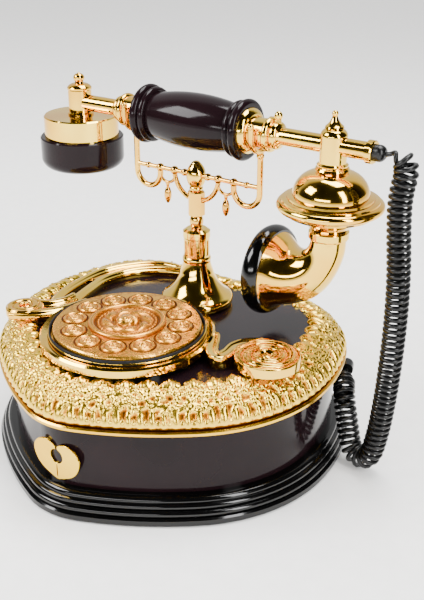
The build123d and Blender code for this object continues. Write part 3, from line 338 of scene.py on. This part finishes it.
# The floor and the matt finishes are lit by an even white room. Polished ones mirror a room that is
# white behind the object and dark in front of it, which gives them their dark streaks.
TO_BACKDROP = (-0.57, 0.82, 0.1)
world = bpy.data.worlds.new("studio")
bpy.context.scene.world = world
world.use_nodes = True
ray = node(world, "ShaderNodeLightPath").outputs["Is Glossy Ray"]
look = node(world, "ShaderNodeTexCoord").outputs["Generated"]
facing = node(world, "ShaderNodeVectorMath", {"operation": "DOT_PRODUCT"}, i0=look, i1=TO_BACKDROP)
room = ramp(world, facing.outputs["Value"], [(0.08, grey(0.01)), (0.36, grey(0.05)), (0.6, grey(1.05))])
# Places 6 and 7 in a mix node's list are its two colours, and output 2 is the mixed one.
seen = node(world, "ShaderNodeMix", {"data_type": "RGBA"}, Factor=ray, i6=grey(1.5), i7=room)
world.node_tree.links.new(seen.outputs[2], world.node_tree.nodes["Background"].inputs["Color"])

# =====================================================================================
# Coiled cord
# =====================================================================================

# The middle of the coil, from the handset's end down to the table and up to the back of the base.
CORD_ROUTE = [
    (128.4, 0.0, 202.5),
    (137.6, -0.6, 204.2),
    (142.2, -1.6, 196.0),
    (139.6, -2.4, 183.0),
    (140.2, -3.0, 166.0),
    (143.2, -3.5, 136.0),
    (143.6, -3.0, 110.0),
    (143.0, -3.5, 80.0),
    (141.6, -4.0, 54.0),
    (139.2, -4.5, 30.0),
    (135.0, -5.0, 8.6),
    (122.0, -3.5, 8.2),
    (115.5, 1.0, 27.0),
    (110.5, 4.5, 41.0),
    (105.5, 13.0, 46.5),
    (100.0, 26.5, 47.8),
]
# One strand, wound to COIL_D over the outside of the coil, with a turn every COIL_PITCH along it. It
# eases from straight to full width over EASE at each end.
STRAND_D = 2.8
STRAND_SIDES = 8
COIL_D = 14.5
COIL_PITCH = 3.8
TURN_POINTS = 14
EASE = 15.0


def cord_centreline():
    """Points along the middle of the coil, from a smooth spline through the route."""
    data = bpy.data.curves.new("route", "CURVE")
    data.dimensions = "3D"
    data.resolution_u = 24
    spline = data.splines.new("NURBS")
    spline.points.add(len(CORD_ROUTE) - 1)
    for point, place in zip(spline.points, CORD_ROUTE):
        point.co = (*mm(*place), 1)
    spline.order_u = 3
    spline.use_endpoint_u = True
    holder = bpy.data.objects.new("route", data)
    bpy.context.scene.collection.objects.link(holder)
    bpy.context.view_layer.update()
    line = bpy.data.meshes.new_from_object(holder)
    points = [v.co.copy() * 1000 for v in line.vertices]
    bpy.data.objects.remove(holder)
    return points


def wind(points):
    """The strand's own line: straight out of each end, then winding up to a full helix."""
    lengths = [0.0]
    for a, b in zip(points, points[1:]):
        lengths.append(lengths[-1] + (b - a).length)
    total = lengths[-1]
    steps = int(total / COIL_PITCH * TURN_POINTS)
    ends = zip([points[0], *points], [*points[1:], points[-1]])
    headings = [(ahead - behind).normalized() for behind, ahead in ends]
    along = headings[0]
    side = along.orthogonal().normalized()
    strand, spot, angle = [], 0, 0.0
    for step in range(steps + 1):
        s = total * step / steps
        while spot < len(points) - 2 and lengths[spot + 1] < s:
            spot += 1
        share = (s - lengths[spot]) / max(lengths[spot + 1] - lengths[spot], 1e-6)
        centre = points[spot].lerp(points[spot + 1], share)
        turned = headings[spot].lerp(headings[spot + 1], share).normalized()
        side = (along.rotation_difference(turned) @ side).normalized()
        along = turned
        ease = min(1.0, s / EASE, (total - s) / EASE)
        ease = ease * ease * (3 - 2 * ease)
        radius = (COIL_D - STRAND_D) / 2 * ease
        angle += TURN * ease / TURN_POINTS
        strand.append(centre + radius * (math.cos(angle) * side + math.sin(angle) * along.cross(side)))
    return strand


strand = wind(cord_centreline())
rings = []
for number, spot in enumerate(strand):
    ahead = (strand[min(number + 1, len(strand) - 1)] - strand[max(number - 1, 0)]).normalized()
    if number == 0:
        across = ahead.orthogonal().normalized()
    across = (across - ahead * across.dot(ahead)).normalized()
    up = ahead.cross(across)
    sides = [math.cos(a) * across + math.sin(a) * up for a in round_angles(STRAND_SIDES)]
    rings.append([spot + STRAND_D / 2 * side for side in sides])
tube = skin("coiled_cord_strand", np.array(rings), loop_u=False, loop_v=True)
cord = piece("coiled_cord_strand", tube, VINYL, None, "cord_black", "coiled_cord")
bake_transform(cord)

# =====================================================================================
# Cast floral band
# =====================================================================================

# The plinth's edge from its front point to the middle of its back: arcs of (radius, degrees), then a
# straight run.
PLINTH_NOSE = (0.0, -151.0)
PLAN_ARCS = [(50.0, 22.0), (230.0, 18.0), (100.0, 50.0), (150.0, 23.0), (60.0, 67.0)]
# No flower rises past this height.
BAND_TOP = 84.0


def plan_stations(spacing):
    """Places round the plinth's edge, each with its outward direction, from the nose and back to it."""
    x, y = PLINTH_NOSE
    heading = 0.0
    half = []
    for radius, turn in PLAN_ARCS:
        cx, cy = x - radius * math.sin(heading), y + radius * math.cos(heading)
        count = max(2, round(radius * math.radians(turn) / spacing))
        for k in range(count):
            a = heading + math.radians(turn) * k / count
            half.append((cx + radius * math.sin(a), cy - radius * math.cos(a), math.sin(a), -math.cos(a)))
        heading += math.radians(turn)
        x, y = cx + radius * math.sin(heading), cy - radius * math.cos(heading)
    count = round(x / spacing)
    half += [(x * (1 - k / count), y, 0.0, 1.0) for k in range(count + 1)]
    other = [(-px, py, -nx, ny) for px, py, nx, ny in half[-2:0:-1]]
    return np.array(half + other)


def bow(start, through, end, count):
    """Points of the circular arc through three profile places, (inset, height)."""
    (ax, ay), (bx, by), (cx, cy) = start, through, end
    d = 2 * (ax * (by - cy) + bx * (cy - ay) + cx * (ay - by))
    ux = ((ax**2 + ay**2) * (by - cy) + (bx**2 + by**2) * (cy - ay) + (cx**2 + cy**2) * (ay - by)) / d
    uy = ((ax**2 + ay**2) * (cx - bx) + (bx**2 + by**2) * (ax - cx) + (cx**2 + cy**2) * (bx - ax)) / d
    first, last = math.atan2(ay - uy, ax - ux), math.atan2(cy - uy, cx - ux)
    middle = math.atan2(by - uy, bx - ux)
    turn = (last - first) % TURN
    if (middle - first) % TURN > turn:
        turn -= TURN
    r = math.hypot(ax - ux, ay - uy)
    angles = [first + turn * k / count for k in range(count + 1)]
    return [(ux + r * math.cos(a), uy + r * math.sin(a)) for a in angles]


class Relief:
    """A height field over a band, in millimetres, built up from stamped leaves and flowers."""

    def __init__(self, u, v, length):
        self.u, self.v, self.length = u, v, length
        self.h = np.zeros(u.shape)

    def stamp(self, u, v, reach, turn, shape):
        """Raises the field to shape(x, y) round a place; x and y are in reaches, turned by turn."""
        du = (self.u - u + self.length / 2) % self.length - self.length / 2
        rows = np.where(np.abs(du[:, 0]) < reach * 1.1)[0]
        x, y = du[rows] / reach, (self.v[rows] - v) / reach
        c, s = math.cos(turn), math.sin(turn)
        self.h[rows] = np.maximum(self.h[rows], shape(c * x + s * y, c * y - s * x))

    def blossom(self, u, v, reach, petals, depth, phase):
        """A flower of rounded petals round a bead."""
        for k in range(petals):
            turn = phase + TURN * k / petals
            at_u, at_v = u + 0.56 * reach * math.cos(turn), v + 0.56 * reach * math.sin(turn)
            self.stamp(at_u, at_v, 0.52 * reach, turn, petal(depth * 0.85, 0.8))
        self.stamp(u, v, 0.3 * reach, 0, petal(depth, 1))

    def soften(self, passes):
        """Rounds every edge a little, as casting and gilding do."""
        for _ in range(passes):
            self.h = (2 * self.h + np.roll(self.h, 1, 0) + np.roll(self.h, -1, 0)) / 4
            side = np.pad(self.h, ((0, 0), (1, 1)), mode="edge")
            self.h = (2 * self.h + side[:, :-2] + side[:, 2:]) / 4


def petal(depth, slim):
    """A rounded petal along x: half an egg, slim times as wide as it is long."""

    def shape(x, y):
        return depth * np.sqrt(np.clip(1 - x**2 - (y / slim) ** 2, 0, 1))

    return shape


def leaf(depth, slim):
    """A pointed leaf along x that rises to a ridge."""

    def shape(x, y):
        half = slim * np.clip(1 - x**2, 0, 1) ** 0.8 + 1e-6
        return depth * np.clip(1 - np.abs(y) / half, 0, 1) ** 0.7 * (np.abs(x) < 1)

    return shape


def floral_band():
    """Roses along the inner crest, mixed sprays on the slope and a fringe of flutes at the foot.

    The relief's u runs round the band and its v runs up the slope from the foot, in millimetres.
    """
    stations = plan_stations(0.5)
    profile = np.array(
        [(14.0, 62.2), (5.8, 62.2)]
        + bow((5.8, 62.4), (11.2, 73.4), (19.6, 79.2), 52)
        + bow((19.8, 79.3), (22.8, 79.8), (24.6, 78.2), 14)
        + [(24.8, 77.0), (24.8, 76.0)]
    )
    step = np.diff(profile, axis=0)
    reach = np.concatenate([[0], np.cumsum(np.hypot(*step.T))]) - 8.6
    slope = np.gradient(profile, axis=0)
    slope /= np.hypot(*slope.T)[:, None]
    away = np.stack([-slope[:, 1], slope[:, 0]], -1)
    # u is measured 13 mm in from the plinth's edge, along the middle of the band.
    middle = stations[:, :2] - stations[:, 2:] * 13
    hop = np.roll(middle, -1, 0) - middle
    u = np.concatenate([[0], np.cumsum(np.hypot(*hop.T))])
    length = u[-1]
    field_u, field_v = np.meshgrid(u[:-1], reach, indexing="ij")
    relief = Relief(field_u, field_v, length)
    chance = np.random.RandomState(11)

    # Small seeds over the slope and the crest, so that no bare ground shows between the flowers.
    seeds = round(length / 1.6)
    for k in range(seeds):
        relief.stamp(length * k / seeds, chance.uniform(9, 26), chance.uniform(1.2, 2.0), 0, petal(1.1, 1))
    # Upright flutes at the foot, with a short one between each two.
    flutes = round(length / 6.4)
    for k in range(flutes):
        at, tall = length * k / flutes, chance.uniform(6.5, 8.5)
        relief.stamp(at, tall - 2.4, tall, math.pi / 2, petal(2.8, 0.36))
        relief.stamp(at + 3.2, 3.0, 3.2, math.pi / 2, petal(1.7, 0.5))
    # Two rows of sprays: three leaves under a blossom.
    sprays = round(length / 9.6)
    for k in range(sprays):
        for row, v in enumerate((12.6, 18.8)):
            at = length * (k + 0.5 * row) / sprays + chance.uniform(-1.0, 1.0)
            for blade in range(3):
                turn = blade * TURN / 3 + chance.uniform(0, 2)
                relief.stamp(at + 4.6 * math.cos(turn), v + 3.8 * math.sin(turn), 4.0, turn, leaf(2.4, 0.5))
            bloom = chance.uniform(3.8, 4.8)
            relief.blossom(at, v + chance.uniform(-0.8, 0.8), bloom, 5, 3.0, chance.uniform(0, 6))
    # Roses along the crest.
    roses = round(length / 9.8)
    for k in range(roses):
        at = length * k / roses + chance.uniform(-0.5, 0.5)
        relief.blossom(at, 23.4 + chance.uniform(-0.5, 0.5), 5.0, 5, 3.4, chance.uniform(0, 6))
    # Shells of three ribs along the inner edge, which runs in cusps from one to the next.
    lobes = round(length / 13.5)
    for k in range(lobes):
        at = length * k / lobes
        for side, turn, depth in ((-3.6, 1.9, 3.0), (3.6, 1.24, 3.0), (0, 1.57, 3.8)):
            relief.stamp(at + side, 27.0, 5.6, turn, petal(depth, 0.62))
    relief.soften(1)
    raised = relief.h * np.clip(field_v / 1.5, 0, 1) * np.clip((reach[-1] - field_v) / 1.5, 0, 1)

    cusped = np.abs(np.cos(math.pi * lobes * field_u / length)) ** 0.5
    inset = profile[None, :, 0] + away[None, :, 0] * raised
    inset += np.clip((field_v - 21) / 5, 0, 1) * (4.6 * cusped - 2.4)
    rise = np.minimum(profile[None, :, 1] + away[None, :, 1] * raised, BAND_TOP)
    x = stations[:, 0, None] - stations[:, 2, None] * inset
    y = stations[:, 1, None] - stations[:, 3, None] * inset
    # The height over the band, which the finish turns into painted shade in the hollows.
    mesh = skin("floral_band_relief", np.stack([x, y, rise], -1), relief=np.clip(raised / 2.6, 0, 1))
    piece("floral_band_relief", mesh, CAST_GILT, "base", "gilt", "floral_band")


floral_band()

# =====================================================================================
# Keypad
# =====================================================================================


def polar_plate(name, radius, rings_count, sectors, height_at, base_z):
    """A round relief plate about the origin: height_at(r, angle) in millimetres over its face."""
    r = np.linspace(0.02, radius, rings_count)
    angle, distance = np.meshgrid(round_angles(sectors), r, indexing="ij")
    z = height_at(distance, angle)
    face = np.stack([distance * np.cos(angle), distance * np.sin(angle), z], -1)
    skirt = face[:, -1:, :].copy()
    skirt[..., 2] = base_z
    grid = np.concatenate([face, skirt], 1)
    low, high = z.min(), z.max()
    # Height over the plate, which the relief finishes turn into painted shade in the low places; the sunk
    # ring and dot come out dark this way.
    tone = np.concatenate([(z - low) / (high - low), np.full((sectors, 1), 0.4)], 1)
    return skin(name, grid, relief=tone)


def key_height(r, a):
    """A pressed key: a rolled rim, a low dome with six faint petals and a dot. r runs to 1 at the rim."""
    painted_shade_rim = np.exp(-(((r - 0.86) / 0.09) ** 2)) * 0.75
    dome = np.clip(1 - (r / 0.66) ** 2, 0, 1) ** 0.5 * (0.8 + 0.12 * np.cos(6 * a))
    ring = -0.45 * np.exp(-(((r - 0.34) / 0.06) ** 2))
    dot = -0.9 * np.clip(1 - (r / 0.16) ** 2, 0, 1) ** 0.5
    return painted_shade_rim + dome + ring + dot


def medallion_height(r, a):
    """Rolled outer ring, a ring of acanthus leaves and a raised beaded boss."""
    roll = 2.1 * np.clip(1 - ((r - 21.8) / 2.0) ** 2, 0, 1) ** 0.5
    cord_ring = 1.2 * np.clip(1 - ((r - 17.6) / 0.9) ** 2, 0, 1) ** 0.5 * (0.8 + 0.2 * np.cos(36 * a))
    swirl = a + 0.06 * r
    leaves = np.exp(-(((r - 12.6) / 3.4) ** 4)) * (0.4 + 0.6 * np.abs(np.cos(4 * swirl)) ** 0.7) * 2.2
    boss = 4.0 * np.clip(1 - (r / 7.4) ** 2, 0, 1) ** 0.6
    curls = 0.5 * np.cos(6 * a + 1.6 * r) * np.exp(-(((r - 6.4) / 3.0) ** 2))
    return roll + cord_ring + leaves + boss + curls


dial_low, dial_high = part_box("dial_medallion")
DIAL_X, DIAL_Y = (dial_low.x + dial_high.x) * 500, (dial_low.y + dial_high.y) * 500
PLATE_Z = dial_low.z * 1000
PLATE_R = (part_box("finger_plate")[1].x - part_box("finger_plate")[0].x) * 500
RING_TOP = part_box("dial_ring")[1].z * 1000

MEDAL_R = 23.8
MEDAL_LIFT = 0.2
medal = polar_plate("dial_medallion_relief", MEDAL_R, 110, 288, medallion_height, -MEDAL_LIFT)
medal.transform(Matrix.Translation(mm(DIAL_X, DIAL_Y, PLATE_Z + MEDAL_LIFT)))
piece("dial_medallion_relief", medal, KEY_GILT, "base", "dial_gilt", "dial_medallion")


def hoop(name, centre, profile, finish, sectors=180):
    """A turned ring round a centre (x, y), from a closed profile of (radius, height)."""
    r, z = np.array(profile).T
    a = round_angles(sectors)[:, None]
    places = np.broadcast_arrays(centre[0] + r * np.cos(a), centre[1] + r * np.sin(a), z + 0 * a)
    piece(name, skin(name, np.stack(places, -1), loop_v=True), finish, "base", "dial_gilt")


# Each key is a face of key_r on a stem that goes KEY_STEM down, in a dark wire rim of its own that is
# painted shade round the key.
KEY_FLANGE = 0.9
KEY_LIFT = 0.3
KEY_STEM = 5.2
RIM_GAP = 0.75
RIM_WIRE = [(0.42 * math.cos(a), 0.3 * math.sin(a)) for a in round_angles(12)]
keys = {}
for number in range(1, 13):
    name = f"button_{number}"
    low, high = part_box(name)
    key_r = (high.x - low.x) * 500 - KEY_FLANGE
    x, y = (low.x + high.x) * 500, (low.y + high.y) * 500
    mesh = polar_plate(f"{name}_rosette", key_r, 40, 112, lambda r, a: key_height(r / key_r, a), -KEY_STEM)
    mesh.transform(Matrix.Translation(mm(x, y, PLATE_Z + KEY_LIFT)))
    piece(f"{name}_rosette", mesh, KEY_GILT, f"{name}_body", "dial_gilt", name)
    keys[number] = (x, y, key_r + RIM_GAP)
# The dark rims are painted shade round the keys' edges.
for number, (x, y, r) in keys.items():
    hoop(f"key_{number}_rim", (x, y), [(r + wide, PLATE_Z + up) for wide, up in RIM_WIRE], PATINA_AND_PAINTED_SHADE, 72)


def band_profile(inner, outer, bottom, top, slant=0.0):
    """A four-sided profile beside the keypad's plate; its outer side is slant shorter at each end."""
    inner, outer = PLATE_R + inner, PLATE_R + outer
    return [(inner, bottom), (outer, bottom + slant), (outer, top - slant), (inner, top)]


# A dark band of painted shade round the side of the keypad's plate, a bright bead in it, and the dark bottom
# of the gutter outside.
DIAL = (DIAL_X, DIAL_Y)
hoop("plate_shadow_band", DIAL, band_profile(0.1, 0.7, RING_TOP - 3.6, PLATE_Z - 1.4, 0.2), MOULDED)
hoop("plate_lower_bead", DIAL, band_profile(0.6, 1.3, PLATE_Z - 4.1, PLATE_Z - 2.9, 0.2), GILT)
hoop("ring_gutter", DIAL, band_profile(0.7, 3.3, RING_TOP - 4.4, RING_TOP - 3.4), MOULDED)

# =====================================================================================
# Seam of the heart plate
# =====================================================================================

# A dark bead that tapers at both ends, half sunk in the plate's face.
SEAM_R = 0.45
heart_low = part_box("escutcheon")[0] * 1000
seam_z = np.linspace(heart_low.z + 2.0, heart_low.z + 11.0, 12)[:, None]
seam_r = SEAM_R * np.sin(np.linspace(0.05, math.pi - 0.05, 12))[:, None] ** 0.5
a = round_angles(10)
seam = np.stack([seam_r * np.cos(a), heart_low.y + 0.5 * seam_r * np.sin(a), seam_z + 0 * a], -1)
seam_skin = skin("heart_plate_seam", seam, loop_u=False, loop_v=True)
piece("heart_plate_seam", seam_skin, PATINA_AND_PAINTED_SHADE, "base", "gilt")

# =====================================================================================
# Scrolls on the deck
# =====================================================================================


def smooth_path(places, steps=14):
    """A smooth line through places, with even steps between each two."""
    p = np.array([places[0], *places, places[-1]], float)
    t = np.linspace(0, 1, steps, endpoint=False)[:, None]
    spans = [
        0.5 * (2 * b + (c - a) * t + (2 * a - 5 * b + 4 * c - d) * t**2 + (3 * b - a - 3 * c + d) * t**3)
        for a, b, c, d in zip(p, p[1:], p[2:], p[3:])
    ]
    return np.concatenate([*spans, p[-1:]])


def moulding(name, places, section, finish, stands_for, blunt=0.25):
    """A cast moulding along places, with section (across, height); its ends narrow to a rounded tip."""
    line = smooth_path(places)
    run = np.gradient(line, axis=0)
    run /= np.hypot(*run.T)[:, None]
    side = np.stack([-run[:, 1], run[:, 0]], -1)
    share = np.linspace(0, 1, len(line))
    end = np.minimum(share, 1 - share) / 0.06
    width = blunt + (1 - blunt) * np.sqrt(np.clip(1 - (1 - np.clip(end, 0, 1)) ** 2, 0, 1))
    across = np.array(section)[None, :, 0] * width[:, None]
    x = line[:, 0, None] + side[:, 0, None] * across
    y = line[:, 1, None] + side[:, 1, None] * across
    z = np.broadcast_to(np.array(section)[None, :, 1], x.shape)
    mesh = skin(name, np.stack([x, y, z], -1), loop_u=False, loop_v=True)
    piece(name, mesh, finish, "base", "gilt", stands_for)


def bar_section(half, foot, top):
    """A rounded bar with a quirk along each shoulder."""
    shares = [(1, 0), (1, 0.5), (0.94, 0.66), (0.8, 0.7), (0.72, 0.68), (0.6, 0.86), (0.3, 0.97)]
    right = [(half * across, foot + (top - foot) * up) for across, up in shares]
    return right + [(0, top)] + [(-x, z) for x, z in reversed(right)]


DECK_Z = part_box("left_scroll")[0].z * 1000
SCROLL_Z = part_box("left_scroll")[1].z * 1000
RAIL_TOP = DECK_Z + 6.4
INNER_RAIL = [
    (-61, -64), (-63, -54), (-67, -36), (-70, -16), (-67, 0),
    (-61, 12), (-51, 21.5), (-39, 28), (-25, 32),
]
OUTER_RAIL = [
    (-66, -69), (-76, -53), (-80.5, -31), (-81, -9), (-77, 5),
    (-70, 16.5), (-61.5, 26), (-51.5, 31), (-38, 33),
]
SLIT_FILL = [(-75.5, -18), (-74, -6), (-69, 9), (-62, 19), (-52, 27), (-40, 31)]
LINK = [(-80, -93), (-71, -90), (-62, -83), (-55, -73), (-51, -62), (-49, -54)]
STRAP = [(-79, -73.6), (-72, -73), (-66, -69), (-62.5, -62), (-62, -52)]
CURL_X, CURL_Y, CURL_R = -76.0, -84.0, 12.0
CURL_FOOT = DECK_Z + 4.2
CURL_RISE = 1.4
for name, places, half, foot, top, finish in (
    ("inner_rail", INNER_RAIL, 3.7, DECK_Z, RAIL_TOP, GILT),
    ("outer_rail", OUTER_RAIL, 3.4, DECK_Z, RAIL_TOP, GILT),
    ("web", SLIT_FILL, 4.6, DECK_Z, DECK_Z + 4.2, ROD_GILT),
    ("link", LINK, 5.0, CURL_FOOT, SCROLL_Z - 0.2, GILT),
    ("strap", STRAP, 4.2, CURL_FOOT - 1.5, SCROLL_Z, GILT),
):
    moulding(f"left_scroll_{name}", places, bar_section(half, foot, top), finish, "left_scroll")


def curl_height(r, a):
    """A rolled strap end: one spiral ridge that falls into a round eye."""
    ridge = (r - 4.4 * a / TURN) % 4.4
    roll = 1.3 * np.clip(1 - ((ridge - 2.2) / 2.1) ** 2, 0, 1) ** 0.5
    eye = np.clip((r - 2.2) / 0.8, 0, 1)
    edge = np.clip((CURL_R - r) / 0.5, 0, 1) ** 0.5
    return (roll * np.clip(11.6 - r, 0.4, 1) + 0.3) * eye * edge - 3.2 * (1 - eye)


curl = polar_plate("left_scroll_curl", CURL_R, 70, 160, curl_height, CURL_FOOT - SCROLL_Z + CURL_RISE)
curl.transform(Matrix.Translation(mm(CURL_X, CURL_Y, SCROLL_Z - CURL_RISE)))
piece("left_scroll_curl", curl, GILT, "base", "gilt", "left_scroll")

low, high = [corner * 1000 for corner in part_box("right_scroll")]
ROSETTE_R = 19.5
ROSETTE_X, ROSETTE_Y = high.x - ROSETTE_R, low.y + ROSETTE_R
ROSETTE_FOOT = DECK_Z + 4.3
ROSETTE_RISE = 1.9
RIBBON = [
    (46, -46), (51, -54), (57.5, -65), (64, -68.5), (66, -62),
    (65, -52), (69, -43.5), (77, -38.5), (84, -37),
]
RIBBON_FOOT, RIBBON_TOP = DECK_Z + 1.8, DECK_Z + 9.6
ribbon_half = [(3.2, RIBBON_FOOT), (3.7, RIBBON_TOP - 0.9), (3.0, RIBBON_TOP), (1.9, RIBBON_TOP - 0.8)]
ribbon_section = ribbon_half + [(-x, z) for x, z in reversed(ribbon_half)]
moulding("right_scroll_ribbon", RIBBON, ribbon_section, GILT, "right_scroll")


def rosette_height(r, a):
    """A strap rolled up flat: a spiral ridge round a small boss."""
    ridge = (r - 6.0 * a / TURN + 0.6) % 6.0
    off = ridge - 3.0
    roll = 2.3 * np.clip(1 - (off / 2.7) ** 4, 0, 1) ** 0.5 * (0.84 + 0.16 * np.cos(2.4 * off))
    boss = 1.6 * np.clip(1 - (r / 3.4) ** 2, 0, 1) ** 0.5
    edge = np.clip((ROSETTE_R - r) / 0.6, 0, 1) ** 0.5
    return np.where(r < 4.2, boss, roll) * edge - 0.4 * (1 - edge)


foot = ROSETTE_FOOT - high.z + ROSETTE_RISE
rosette = polar_plate("right_scroll_rosette", ROSETTE_R, 110, 240, rosette_height, foot)
rosette.transform(Matrix.Translation(mm(ROSETTE_X, ROSETTE_Y, high.z - ROSETTE_RISE)))
piece("right_scroll_rosette", rosette, GILT, "base", "gilt", "right_scroll")
